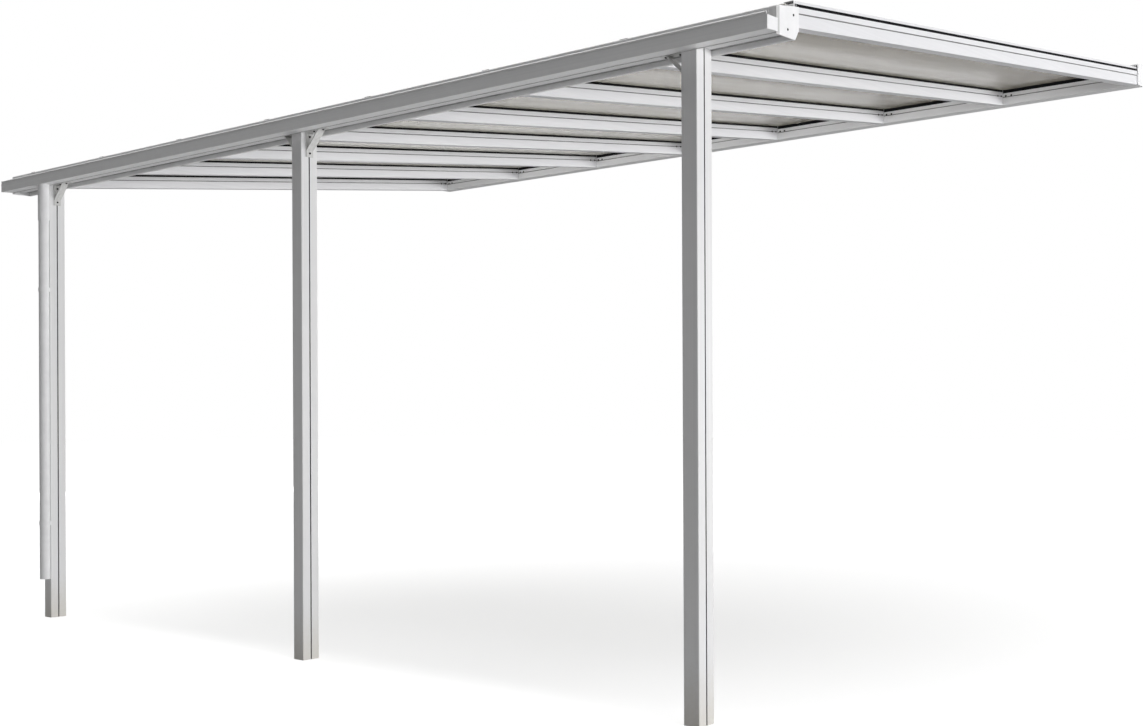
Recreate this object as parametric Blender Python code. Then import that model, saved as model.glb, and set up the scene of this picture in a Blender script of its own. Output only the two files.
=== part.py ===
"""Lean-to patio cover: three posts, a front beam with a gutter, eight rafters and seven roof panels.

Metres, Z up. The origin is the centre of the middle post's foot. The front faces -Y, the house wall
is at +Y, and the roof rises towards the wall.
"""
import math

import bmesh
import bpy
from mathutils import Vector
from mathutils.geometry import tessellate_polygon

# Driving sizes
POST_SPACING = 2.309
POST_WIDTH = 0.0715
POST_DEPTH = 0.0955
END_OVERHANG = 0.35525
CLEAR_HEIGHT = 2.500
PROJECTION = 3.522
ROOF_SLOPE = 0.1127
RAFTER_COUNT = 8
RAFTER_WIDTH = 0.048
RAFTER_SIDE = 0.0745
PANEL_THICKNESS = 0.004
CAP_WIDTH = 0.042
CAP_HEIGHT = 0.007
GUTTER_REACH = 0.067
WALL_RAIL_DEPTH = 0.0745
WALL_RAIL_HEIGHT = 0.120
DOWNPIPE_RADIUS = 0.029
DOWNPIPE_GROUND_GAP = 0.228

# Small sizes shared by several pieces
SEAT_GAP = 0.0003
END_PLATE = 0.006
GUTTER_CAP = 0.003
SCREW_ROOM = 0.002
POST_WALL = 0.0025
GROOVE = 0.007
GROOVE_DEPTH = 0.008
POST_CORNER = 0.003
BEAM_WALL = 0.003
SEAT_RISE = 0.012
RAIL_SEAT_RISE = 0.0195
LINE_HEIGHT = 0.005
LINE_DEPTH = 0.004
FRONT_DROP = 0.005
RIB_HALF = 0.005
LEDGE_HALF = 0.019
ROUND_SIDES = 32

# Lengths, heights and planes that follow from the driving sizes
OVERALL_LENGTH = 2 * (POST_SPACING + POST_WIDTH / 2 + END_OVERHANG)
CHANNEL_CEILING = CLEAR_HEIGHT + 0.020
POST_TOP = CHANNEL_CEILING - SEAT_GAP
POST_FRONT = -POST_DEPTH / 2
BEAM_FRONT = POST_FRONT - SEAT_GAP - BEAM_WALL
BEAM_LIP_FOOT = POST_DEPTH / 2 + 0.01925
BEAM_REAR = POST_DEPTH / 2 + 0.04375
BEAM_REAR_FOOT = CLEAR_HEIGHT + 0.050
GUTTER_BACK = BEAM_FRONT - SEAT_GAP
GUTTER_FRONT = GUTTER_BACK - GUTTER_REACH
GUTTER_BOTTOM = CLEAR_HEIGHT + 0.005
GUTTER_FALL = 0.05
RAIL_FRONT = PROJECTION
RAIL_BACK = RAIL_FRONT + WALL_RAIL_DEPTH
RAIL_BOTTOM = BEAM_REAR_FOOT + ROOF_SLOPE * (RAIL_FRONT - BEAM_REAR)
RAIL_TOP = RAIL_BOTTOM + WALL_RAIL_HEIGHT
PANEL_RISE = RAFTER_SIDE + SEAT_RISE
PANEL_FRONT = POST_DEPTH / 2 - 0.002
CAP_FRONT = PANEL_FRONT + 0.022
PROFILE_HALF = OVERALL_LENGTH / 2 - END_PLATE - SEAT_GAP
END_RAFTER_X = PROFILE_HALF - RAFTER_WIDTH / 2
BAY = 2 * END_RAFTER_X / (RAFTER_COUNT - 1)
PIPE_X = -POST_SPACING + 0.034
PIPE_Y = POST_FRONT - DOWNPIPE_RADIUS - 0.0065

ALUMINIUM = (0.80, 0.80, 0.82, 1.0)
PLASTIC_WHITE = (0.78, 0.78, 0.79, 1.0)
MILKY = (0.76, 0.74, 0.68, 1.0)


def clear_scene():
    for obj in list(bpy.data.objects):
        bpy.data.objects.remove(obj, do_unlink=True)


def collection(name):
    group = bpy.data.collections.new(name)
    bpy.context.scene.collection.children.link(group)
    return group


def finish(obj, colour, roughness, metallic):
    """Give a part its own plain material."""
    material = bpy.data.materials.new(obj.name + "_finish")
    material.use_nodes = True
    shader = material.node_tree.nodes["Principled BSDF"]
    shader.inputs["Base Color"].default_value = colour
    shader.inputs["Roughness"].default_value = roughness
    shader.inputs["Metallic"].default_value = metallic
    obj.data.materials.clear()
    obj.data.materials.append(material)


def satin(obj):
    finish(obj, ALUMINIUM, 0.35, 0.6)
    return obj


def white_plastic(obj):
    finish(obj, PLASTIC_WHITE, 0.45, 0.0)
    return obj


def prism(name, group, loops, span, axis, slope=0.0, far_loops=None):
    """Extrude an outline, and the hollows listed after it, along one axis.

    The outline is (y, z) for axis X, (x, z) for axis Y and (x, y) for axis Z. With a slope the section
    climbs with Y, and its ends stay upright. Far loops, of as many points, give the far end its own shape.
    """
    place = {
        "X": lambda u, v, s: (s, u, v),
        "Y": lambda u, v, s: (u, s, v + slope * s),
        "Z": lambda u, v, s: (u, v, s),
    }[axis]
    mesh_builder = bmesh.new()
    rings = []
    for s, end_loops in zip(span, (loops, far_loops or loops)):
        rings.append([[mesh_builder.verts.new(place(u, v, s)) for u, v in loop] for loop in end_loops])
    for first, last in zip(*rings):
        for i in range(len(first)):
            j = (i + 1) % len(first)
            mesh_builder.faces.new((first[i], first[j], last[j], last[i]))
    flat = [[Vector((u, v, 0.0)) for u, v in loop] for loop in loops]
    triangles = tessellate_polygon(flat) if len(loops) > 1 else [range(len(loops[0]))]
    for ring in rings:
        corners = [vert for loop in ring for vert in loop]
        for triangle in triangles:
            mesh_builder.faces.new([corners[i] for i in triangle])
    bmesh.ops.recalc_face_normals(mesh_builder, faces=mesh_builder.faces)
    mesh = bpy.data.meshes.new(name)
    mesh_builder.to_mesh(mesh)
    mesh_builder.free()
    obj = bpy.data.objects.new(name, mesh)
    group.objects.link(obj)
    return obj


def lathe(name, group, section, top_slope=0.0):
    """Turn a closed (radius, z) section about Z. With a top slope its highest edge climbs with Y."""
    mesh_builder = bmesh.new()
    top = max(z for _, z in section)
    rings = []
    for k in range(ROUND_SIDES):
        turn = 2 * math.pi * k / ROUND_SIDES
        ring = []
        for r, z in section:
            x, y = r * math.cos(turn), r * math.sin(turn)
            ring.append(mesh_builder.verts.new((x, y, z + (top_slope * y if z == top else 0.0))))
        rings.append(ring)
    for k, ring in enumerate(rings):
        after = rings[(k + 1) % ROUND_SIDES]
        for i in range(len(section)):
            j = (i + 1) % len(section)
            mesh_builder.faces.new((ring[i], ring[j], after[j], after[i]))
    bmesh.ops.recalc_face_normals(mesh_builder, faces=mesh_builder.faces)
    mesh = bpy.data.meshes.new(name)
    mesh_builder.to_mesh(mesh)
    mesh_builder.free()
    obj = bpy.data.objects.new(name, mesh)
    group.objects.link(obj)
    return obj


def arc(cx, cy, radius, start, steps=3):
    """Points of a quarter turn, anticlockwise from a start angle in degrees."""
    return [(cx + radius * math.cos(math.radians(start + 90 * k / steps)),
             cy + radius * math.sin(math.radians(start + 90 * k / steps))) for k in range(steps + 1)]


def rafter_underside(y):
    return BEAM_REAR_FOOT + ROOF_SLOPE * (y - BEAM_REAR)


def panel_underside(y):
    return rafter_underside(y) + PANEL_RISE


def gutter_underside(y):
    return GUTTER_BOTTOM + GUTTER_FALL * (y - GUTTER_FRONT)


def mirrored(loop):
    """The same loop turned over in its second coordinate."""
    return [(u, -v) for u, v in reversed(loop)]


def post(name, group, x):
    """Hollow post with a narrow groove down each side and a web between the grooves."""
    w, d, r = POST_WIDTH / 2, POST_DEPTH / 2, POST_CORNER
    g, k, t = GROOVE / 2, GROOVE_DEPTH, POST_WALL
    outline = (arc(w - r, -d + r, r, 270) + [(w, -g), (w - k, -g), (w - k, g), (w, g)]
               + arc(w - r, d - r, r, 0) + arc(-w + r, d - r, r, 90)
               + [(-w, g), (-w + k, g), (-w + k, -g), (-w, -g)] + arc(-w + r, -d + r, r, 180))
    front = [(-w + t, -d + t), (w - t, -d + t), (w - t, -g - t), (w - k - t, -g - t),
             (w - k - t, -t / 2), (-w + k + t, -t / 2), (-w + k + t, -g - t), (-w + t, -g - t)]
    obj = satin(prism(name, group, [outline, front, mirrored(front)], (0.0, POST_TOP), "Z"))
    obj.location.x = x
    return obj


def front_beam(group):
    """Hollow beam, open underneath where the post tops enter, with a rib that carries the panels."""
    wall = BEAM_WALL
    lip_front_inner, lip_rear_inner = POST_FRONT - SEAT_GAP, BEAM_LIP_FOOT - 0.015
    lip_front_foot = GUTTER_BOTTOM + 0.001
    rib_front, rib_rear = BEAM_REAR - 0.0275, BEAM_REAR - 0.0215
    web, chamfer = 0.012, 0.0035

    def top(y):
        return panel_underside(y) - SEAT_RISE

    def low_top(y):
        return top(y) - FRONT_DROP

    def seat(y):
        return panel_underside(y) - SEAT_GAP

    slant = (BEAM_REAR_FOOT - CLEAR_HEIGHT) / (BEAM_REAR - BEAM_LIP_FOOT)
    floor = CHANNEL_CEILING + wall
    slant_foot = BEAM_LIP_FOOT + (floor - CLEAR_HEIGHT) / slant - 1.2 * wall
    outline = [(BEAM_FRONT, lip_front_foot), (lip_front_inner, lip_front_foot),
               (lip_front_inner, CHANNEL_CEILING), (lip_rear_inner, CHANNEL_CEILING),
               (lip_rear_inner, CLEAR_HEIGHT), (BEAM_LIP_FOOT, CLEAR_HEIGHT),
               (BEAM_REAR, BEAM_REAR_FOOT), (BEAM_REAR, top(BEAM_REAR)), (rib_rear, top(rib_rear)),
               (rib_rear, seat(rib_rear)), (rib_front, seat(rib_front)), (rib_front, low_top(rib_front)),
               (BEAM_FRONT + chamfer, low_top(BEAM_FRONT + chamfer)),
               (BEAM_FRONT, low_top(BEAM_FRONT) - chamfer)]
    y0, y1, y2, y3 = BEAM_FRONT + wall, web - wall / 2, web + wall / 2, BEAM_REAR - wall
    front = [(y0, floor), (y1, floor), (y1, low_top(y1) - wall), (y0, low_top(y0) - wall)]
    rear = [(y2, floor), (slant_foot, floor), (y3, floor + slant * (y3 - slant_foot)),
            (y3, low_top(y3) - wall), (y2, low_top(y2) - wall)]
    return satin(prism("front_beam", group, [outline, front, rear], (-PROFILE_HALF, PROFILE_HALF), "X"))


def gutter(group, cutters):
    """Open channel on the front of the beam, with a rolled lip and a hole over the outlet."""
    wall, lip, proud, flange = 0.002, 0.010, 0.002, 0.013
    low, back = GUTTER_FRONT, GUTTER_BACK
    rim, back_top = GUTTER_BOTTOM + 0.0645, GUTTER_BOTTOM + 0.075
    under = gutter_underside
    groove, inner_lip, inner_rim = rim - lip - 0.001, low + 2 * wall, rim - wall
    turns = [math.radians(247.5 - 22.5 * k) for k in range(8)]
    rolled = [(low - proud + lip / 2 * (1 + math.cos(turn)), rim - lip / 2 * (1 - math.sin(turn)))
              for turn in turns]
    outline = ([(back, back_top), (back, under(back)), (low, under(low)), (low, groove),
                (low + proud / 2, groove)] + rolled
               + [(low + flange, rim), (low + flange, inner_rim), (inner_lip, inner_rim),
                  (inner_lip, rim - lip), (low + wall, rim - lip), (low + wall, under(low + wall) + wall),
                  (back - wall, under(back - wall) + wall), (back - wall, back_top)])
    half = OVERALL_LENGTH / 2 - GUTTER_CAP - SEAT_GAP
    obj = satin(prism("gutter", group, [outline], (-half, half), "X"))
    bpy.ops.mesh.primitive_cylinder_add(vertices=ROUND_SIDES, radius=DOWNPIPE_RADIUS - 0.0035, depth=0.05,
                                        location=(PIPE_X, PIPE_Y, under(PIPE_Y)))
    cutter = bpy.context.object
    cutter.name = "outlet_hole_cutter"
    for holder in list(cutter.users_collection):
        holder.objects.unlink(cutter)
    cutters.objects.link(cutter)
    cutter.hide_render = True
    cutter.display_type = "WIRE"
    hole = obj.modifiers.new("outlet_hole", "BOOLEAN")
    hole.operation = "DIFFERENCE"
    hole.solver = "EXACT"
    hole.object = cutter
    return obj


def end_covers(group):
    """Flat plates that close the beam, the gutter and the wall rail at both ends."""
    side_top = panel_underside(0.0) - SEAT_RISE
    beam_rear, chamfer = BEAM_REAR - SEAT_GAP, 0.0145
    step = CLEAR_HEIGHT + 0.039

    def plate_loop(front):
        return [(front, CLEAR_HEIGHT), (BEAM_LIP_FOOT, CLEAR_HEIGHT), (beam_rear, step),
                (beam_rear, side_top + ROOF_SLOPE * beam_rear),
                (front, side_top - FRONT_DROP + ROOF_SLOPE * front)]

    inner_loop, outer_loop = plate_loop(BEAM_FRONT + SEAT_GAP), plate_loop(BEAM_FRONT + SEAT_GAP + chamfer)
    gutter_top = GUTTER_BOTTOM + 0.050
    gutter_loop = [(GUTTER_FRONT, gutter_underside(GUTTER_FRONT)),
                   (GUTTER_BACK, gutter_underside(GUTTER_BACK)), (GUTTER_BACK, gutter_top),
                   (GUTTER_FRONT, gutter_top)]
    rail_loop = [(RAIL_FRONT, RAIL_BOTTOM), (RAIL_BACK, RAIL_BOTTOM), (RAIL_BACK, RAIL_TOP),
                 (RAIL_FRONT, RAIL_TOP - ROOF_SLOPE * WALL_RAIL_DEPTH)]
    outer = OVERALL_LENGTH / 2
    for side, sign in (("left", -1), ("right", 1)):
        for name, loop, outer_face, reach, thickness in (
                ("beam_end_plate_", inner_loop, outer_loop, outer - SCREW_ROOM, END_PLATE - SCREW_ROOM),
                ("gutter_end_cap_", gutter_loop, gutter_loop, outer, GUTTER_CAP),
                ("wall_rail_end_cap_", rail_loop, rail_loop, outer, END_PLATE)):
            span = (sign * (reach - thickness), sign * reach)
            white_plastic(prism(name + side, group, [loop], span, "X", far_loops=[outer_face]))


def rafter(name, group, x):
    """Hollow rafter with a fine line along each side, a seat for the panels and a rib between them."""
    w, t = RAFTER_WIDTH / 2, 0.0022
    line_low = 0.645 * RAFTER_SIDE
    line_high = line_low + LINE_HEIGHT
    seat = PANEL_RISE - SEAT_GAP
    rib_top = PANEL_RISE + PANEL_THICKNESS - 0.0005
    base = rafter_underside(0.0)
    right = [(w, 0.0), (w, line_low), (w - LINE_DEPTH, line_low), (w - LINE_DEPTH, line_high),
             (w, line_high), (w, RAFTER_SIDE), (LEDGE_HALF, RAFTER_SIDE), (LEDGE_HALF, seat),
             (RIB_HALF, seat), (RIB_HALF, rib_top)]
    left = [(-u, v) for u, v in reversed(right)]
    inner = w - LINE_DEPTH - t
    hollow = [(-inner, t), (inner, t), (inner, RAFTER_SIDE - t), (-inner, RAFTER_SIDE - t)]
    loops = [[(u, v + base) for u, v in loop] for loop in (right + left, hollow)]
    span = (BEAM_REAR + SEAT_GAP, RAIL_FRONT - SEAT_GAP)
    obj = satin(prism(name, group, loops, span, "Y", ROOF_SLOPE))
    obj.location.x = x
    return obj


def rafter_cap(name, group, x):
    """Shallow channel over a rafter that holds the panel edges down. At the ends of the roof its outer
    leg reaches past the missing panel."""
    w, t = CAP_WIDTH / 2, 0.002
    low = panel_underside(0.0) + PANEL_THICKNESS + SEAT_GAP
    high = low + CAP_HEIGHT
    left = low - PANEL_THICKNESS if x < -END_RAFTER_X + BAY / 2 else low
    right = low - PANEL_THICKNESS if x > END_RAFTER_X - BAY / 2 else low
    loop = [(-w, left), (-w + t, left), (-w + t, high - t), (w - t, high - t), (w - t, right), (w, right),
            (w, high - t), (w - t, high), (-w + t, high), (-w, high - t)]
    obj = satin(prism(name, group, [loop], (CAP_FRONT, RAIL_FRONT + 0.030), "Y", ROOF_SLOPE))
    obj.location.x = x
    return obj


def roof_panel(name, group, x):
    """Flat translucent sheet between two rafter ribs."""
    half = BAY / 2 - RIB_HALF - 0.002
    low = panel_underside(0.0)
    high = low + PANEL_THICKNESS
    loop = [(-half, low), (half, low), (half, high), (-half, high)]
    obj = prism(name, group, [loop], (PANEL_FRONT, RAIL_FRONT + 0.040), "Y", ROOF_SLOPE)
    finish(obj, MILKY, 0.4, 0.0)
    obj.location.x = x
    return obj


def wall_rail(group):
    """Hollow rail on the wall: a seat for the panels' upper edges, a lip over them and a line in front."""
    wall, drop = 0.003, 0.006
    line_low = RAIL_BOTTOM + 0.35 * WALL_RAIL_HEIGHT
    line_high, line_back = line_low + LINE_HEIGHT, RAIL_FRONT + LINE_DEPTH
    rib_front, rib_rear = RAIL_FRONT + 0.012, RAIL_FRONT + 0.018
    inner_back = RAIL_BACK - wall

    def floor(y):
        return panel_underside(y) - RAIL_SEAT_RISE

    def lid(y):
        return RAIL_TOP - ROOF_SLOPE * (RAIL_BACK - y)

    outline = [(RAIL_FRONT, RAIL_BOTTOM), (RAIL_BACK, RAIL_BOTTOM), (RAIL_BACK, RAIL_TOP),
               (RAIL_FRONT, lid(RAIL_FRONT)), (RAIL_FRONT, lid(RAIL_FRONT) - drop),
               (RAIL_FRONT + wall, lid(RAIL_FRONT) - drop), (RAIL_FRONT + wall, lid(RAIL_FRONT) - wall),
               (inner_back, lid(inner_back) - wall), (inner_back, floor(inner_back)),
               (rib_rear, floor(rib_rear)), (rib_rear, panel_underside(rib_rear) - SEAT_GAP),
               (rib_front, panel_underside(rib_front) - SEAT_GAP), (rib_front, floor(rib_front)),
               (RAIL_FRONT, floor(RAIL_FRONT)), (RAIL_FRONT, line_high), (line_back, line_high),
               (line_back, line_low), (RAIL_FRONT, line_low)]
    y0, y1 = line_back + wall, inner_back
    hollow = [(y0, RAIL_BOTTOM + wall), (y1, RAIL_BOTTOM + wall), (y1, floor(y1) - wall),
              (y0, floor(y0) - wall)]
    return satin(prism("wall_rail", group, [outline, hollow], (-PROFILE_HALF, PROFILE_HALF), "X"))


def knee_bracket(name, group, post_x, side):
    """Angle between a post and the beam, with a sloping plate across its corner."""
    reach, drop, brace, t = 0.125, 0.125, 0.090, 0.005
    half = 0.020
    slack = t * math.sqrt(2)
    outline = [(0, 0), (0, -drop), (t, -drop), (t, -brace - t), (brace + t, -t), (reach, -t), (reach, 0)]
    hollow = [(t, -t), (t, -brace - t + slack), (brace + t - slack, -t)]
    x0 = post_x + side * (POST_WIDTH / 2 + SEAT_GAP)
    z0 = CHANNEL_CEILING - SEAT_GAP
    loops = [[(x0 + side * u, z0 + v) for u, v in loop] for loop in (outline, hollow)]
    return satin(prism(name, group, loops, (-half, half), "Y"))


def downpipe(group):
    """Round pipe and the outlet piece above it, which hangs from the gutter and holds the pipe's top."""
    wall = 0.0025
    bore = DOWNPIPE_RADIUS + SEAT_GAP
    outer = bore + wall
    outlet_top = gutter_underside(PIPE_Y) - SEAT_GAP
    socket_foot = outlet_top - 0.206
    socket_top = socket_foot + 0.075
    neck = DOWNPIPE_RADIUS - 0.0045
    outlet = lathe("gutter_outlet", group,
                   [(bore, socket_foot), (outer, socket_foot), (outer, outlet_top), (neck, outlet_top),
                    (neck, socket_top), (bore, socket_top)], GUTTER_FALL)
    pipe = lathe("downpipe", group,
                 [(DOWNPIPE_RADIUS - wall, DOWNPIPE_GROUND_GAP), (DOWNPIPE_RADIUS, DOWNPIPE_GROUND_GAP),
                  (DOWNPIPE_RADIUS, socket_top - SEAT_GAP),
                  (DOWNPIPE_RADIUS - wall, socket_top - SEAT_GAP)])
    for obj in (outlet, pipe):
        obj.location.x, obj.location.y = PIPE_X, PIPE_Y
        white_plastic(obj)


def pipe_clip(name, group, z):
    """Band round the downpipe with a foot on the left post."""
    inner, outer, height = DOWNPIPE_RADIUS + SEAT_GAP, DOWNPIPE_RADIUS + 0.0023, 0.022
    foot_half = 0.011
    foot_y = POST_FRONT - SEAT_GAP - PIPE_Y
    start = math.asin(foot_half / outer)
    steps = 28
    band = []
    for k in range(steps + 1):
        turn = math.pi / 2 + start + (2 * math.pi - 2 * start) * k / steps
        band.append((outer * math.cos(turn), outer * math.sin(turn)))
    outline = band + [(foot_half, foot_y), (-foot_half, foot_y)]
    bore = [(inner * math.cos(2 * math.pi * k / ROUND_SIDES), inner * math.sin(2 * math.pi * k / ROUND_SIDES))
            for k in range(ROUND_SIDES)]
    obj = white_plastic(prism(name, group, [outline, bore], (z - height / 2, z + height / 2), "Z"))
    obj.location.x, obj.location.y = PIPE_X, PIPE_Y
    return obj


def main():
    clear_scene()
    group = collection("patio_cover")
    cutters = collection("cutters")
    post("post_left", group, -POST_SPACING)
    post("post_middle", group, 0.0)
    post("post_right", group, POST_SPACING)
    front_beam(group)
    gutter(group, cutters)
    end_covers(group)
    for i in range(RAFTER_COUNT):
        x = -END_RAFTER_X + i * BAY
        rafter("rafter_%d" % (i + 1), group, x)
        rafter_cap("rafter_cap_%d" % (i + 1), group, x)
    for i in range(RAFTER_COUNT - 1):
        roof_panel("roof_panel_%d" % (i + 1), group, -END_RAFTER_X + (i + 0.5) * BAY)
    wall_rail(group)
    knee_bracket("knee_bracket_left_post", group, -POST_SPACING, 1)
    knee_bracket("knee_bracket_middle_post_left", group, 0.0, -1)
    knee_bracket("knee_bracket_middle_post_right", group, 0.0, 1)
    knee_bracket("knee_bracket_right_post", group, POST_SPACING, -1)
    downpipe(group)
    pipe_clip("pipe_clip_lower", group, 0.22 * CLEAR_HEIGHT)
    pipe_clip("pipe_clip_upper", group, 0.76 * CLEAR_HEIGHT)


main()
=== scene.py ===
"""Looks of a lean-to patio cover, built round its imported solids.

Metres, Z up. The origin is the centre of the middle post's foot, the front faces -Y and the house wall
is at +Y. Every solid of the part is shown as it is, with a finish of its own, and the small pieces that
the solids leave out are added here: sealing strips, screws and the end pieces of the rafter caps.
"""

import logging
import math
from collections.abc import Sequence
from dataclasses import dataclass, replace
from enum import Enum
from functools import cached_property, reduce

import bmesh
import bpy
from bpy.types import ID, Material, Node, NodeSocket, Object, ShaderNodeTree, World
from mathutils import Matrix, Vector


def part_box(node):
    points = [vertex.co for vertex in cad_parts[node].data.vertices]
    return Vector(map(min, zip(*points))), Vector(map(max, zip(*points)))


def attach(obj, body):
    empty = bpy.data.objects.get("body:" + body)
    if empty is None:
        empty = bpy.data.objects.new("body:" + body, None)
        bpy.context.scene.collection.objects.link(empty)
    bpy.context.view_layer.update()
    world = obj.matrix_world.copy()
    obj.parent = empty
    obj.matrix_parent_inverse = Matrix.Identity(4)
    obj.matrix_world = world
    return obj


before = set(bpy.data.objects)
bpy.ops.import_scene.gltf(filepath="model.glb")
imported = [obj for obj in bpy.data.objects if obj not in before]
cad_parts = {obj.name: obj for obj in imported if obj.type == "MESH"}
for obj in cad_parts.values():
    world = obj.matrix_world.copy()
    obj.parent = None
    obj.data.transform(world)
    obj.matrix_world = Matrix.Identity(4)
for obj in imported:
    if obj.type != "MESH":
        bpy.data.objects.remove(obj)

LOG = logging.getLogger("patio_cover")
PHOTO_WIDTH, PHOTO_HEIGHT = 1143, 726
SHARP_EDGE = math.radians(30)  # An edge that turns by more is sharp.
SEAT = 0.0003  # How far a piece stands off the one that carries it.
SUNK = 0.0004  # How deep a screw's head sits in its face.
PANEL_THICKNESS = 0.004
FULL = (0.0, 1.0)
PATTERN = (0.3, 0.7)  # The range that most of a noise pattern lies in.
WHITE = (1.0, 1.0, 1.0)
RIGHTWARD, REARWARD, UPWARD = (1.0, 0.0, 0.0), (0.0, 1.0, 0.0), (0.0, 0.0, 1.0)
SIDES = (("left", -1.0), ("right", 1.0))
Triple = tuple[float, float, float]
Colour = Triple
Range = tuple[float, float]


class Run(Enum):
    """Axis that a drawn profile runs along."""

    ACROSS = 0
    UP_ROOF = 1
    UPRIGHT = 2


def rgba(colour: Colour) -> tuple[float, float, float, float]:
    """Return the colour with full alpha."""
    return (*colour, 1.0)


def placed(name: str, data: ID) -> Object:
    """Put a new object into the scene.

    Args:
        name: Its name.
        data: Its mesh, light or camera.

    Returns:
        The object.
    """
    obj = bpy.data.objects.new(name, data)
    bpy.context.scene.collection.objects.link(obj)
    return obj


class NodeWriter:
    """Adds and joins nodes of one shader tree."""

    def __init__(self, tree: ShaderNodeTree) -> None:
        """Keep the tree that the nodes go into."""
        self.tree = tree

    @classmethod
    def of(cls, owner: Material | World) -> "NodeWriter":
        """Start an owner's tree from nothing.

        Args:
            owner: A new material or world.

        Returns:
            The tree's writer.
        """
        owner.use_nodes = True
        owner.node_tree.nodes.clear()
        return cls(owner.node_tree)

    def add(self, kind: str, **settings: object) -> Node:
        """Add a node.

        Args:
            kind: The node's type name.
            settings: Properties of the node to set.

        Returns:
            The new node.
        """
        node = self.tree.nodes.new(kind)
        for key, value in settings.items():
            setattr(node, key, value)
        return node

    def join(self, source: NodeSocket, target: NodeSocket) -> None:
        """Link an output to an input."""
        self.tree.links.new(source, target)

    def maths(self, operation: str, first: NodeSocket | float, second: NodeSocket | float) -> NodeSocket:
        """Combine two numbers.

        Args:
            operation: The Math node's operation.
            first: A socket or a plain number.
            second: A socket or a plain number.

        Returns:
            The result's socket.
        """
        node = self.add("ShaderNodeMath", operation=operation)
        for socket, value in zip(node.inputs, (first, second)):
            if isinstance(value, (int, float)):
                socket.default_value = value
            else:
                self.join(value, socket)
        return node.outputs[0]

    def times(self, first: NodeSocket | float, second: NodeSocket | float) -> NodeSocket:
        """Multiply two numbers."""
        return self.maths("MULTIPLY", first, second)

    def part(self, vector: NodeSocket, letter: str) -> NodeSocket:
        """Read one part of a vector.

        Args:
            vector: The vector's socket.
            letter: X, Y or Z.

        Returns:
            The part's socket.
        """
        node = self.add("ShaderNodeSeparateXYZ")
        self.join(vector, node.inputs[0])
        return node.outputs[letter]

    def spread(self, value: NodeSocket, source: Range, target: Range = FULL) -> NodeSocket:
        """Map a range of numbers to another, clamped at its ends.

        Args:
            value: The number to map.
            source: Start and end of the range it is read in.
            target: What that start and end become.

        Returns:
            The mapped number's socket.
        """
        node = self.add("ShaderNodeMapRange", clamp=True)
        self.join(value, node.inputs["Value"])
        for name, number in zip(("From Min", "From Max", "To Min", "To Max"), (*source, *target)):
            node.inputs[name].default_value = number
        return node.outputs["Result"]

    def blend(self, mask: NodeSocket, first: Colour | NodeSocket, second: Colour | NodeSocket) -> NodeSocket:
        """Mix two colours by a mask.

        Args:
            mask: 0 gives the first colour and 1 the second.
            first: A colour or a socket.
            second: A colour or a socket.

        Returns:
            The mixed colour's socket.
        """
        node = self.add("ShaderNodeMix", data_type="RGBA", blend_type="MIX")
        self.join(mask, node.inputs["Factor"])
        for name, value in (("A", first), ("B", second)):
            socket = next(s for s in node.inputs if s.name == name and s.type == "RGBA")
            if isinstance(value, tuple):
                socket.default_value = rgba(value)
            else:
                self.join(value, socket)
        return next(s for s in node.outputs if s.type == "RGBA")

    def noise(self, where: NodeSocket, scale: float, detail: float) -> NodeSocket:
        """Add a noise pattern.

        Args:
            where: The coordinates it reads.
            scale: How many features there are in a metre.
            detail: How fine its finest layer is.

        Returns:
            A number from 0 to 1.
        """
        node = self.add("ShaderNodeTexNoise")
        node.inputs["Scale"].default_value = scale
        node.inputs["Detail"].default_value = detail
        self.join(where, node.inputs["Vector"])
        return node.outputs["Fac"]

    def shader(self, kind: str, colour: Colour) -> Node:
        """Add a shader of one colour.

        Args:
            kind: The node's type name.
            colour: Its colour.

        Returns:
            The new node.
        """
        node = self.add(kind)
        node.inputs["Color"].default_value = rgba(colour)
        return node

    def mixed(self, share: NodeSocket, first: Node, second: Node) -> NodeSocket:
        """Mix two shaders.

        Args:
            share: 0 gives the first shader and 1 the second.
            first: A shader.
            second: A shader.

        Returns:
            The mixed shader's socket.
        """
        node = self.add("ShaderNodeMixShader")
        for source, target in zip((share, first.outputs[0], second.outputs[0]), node.inputs):
            self.join(source, target)
        return node.outputs[0]


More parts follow.
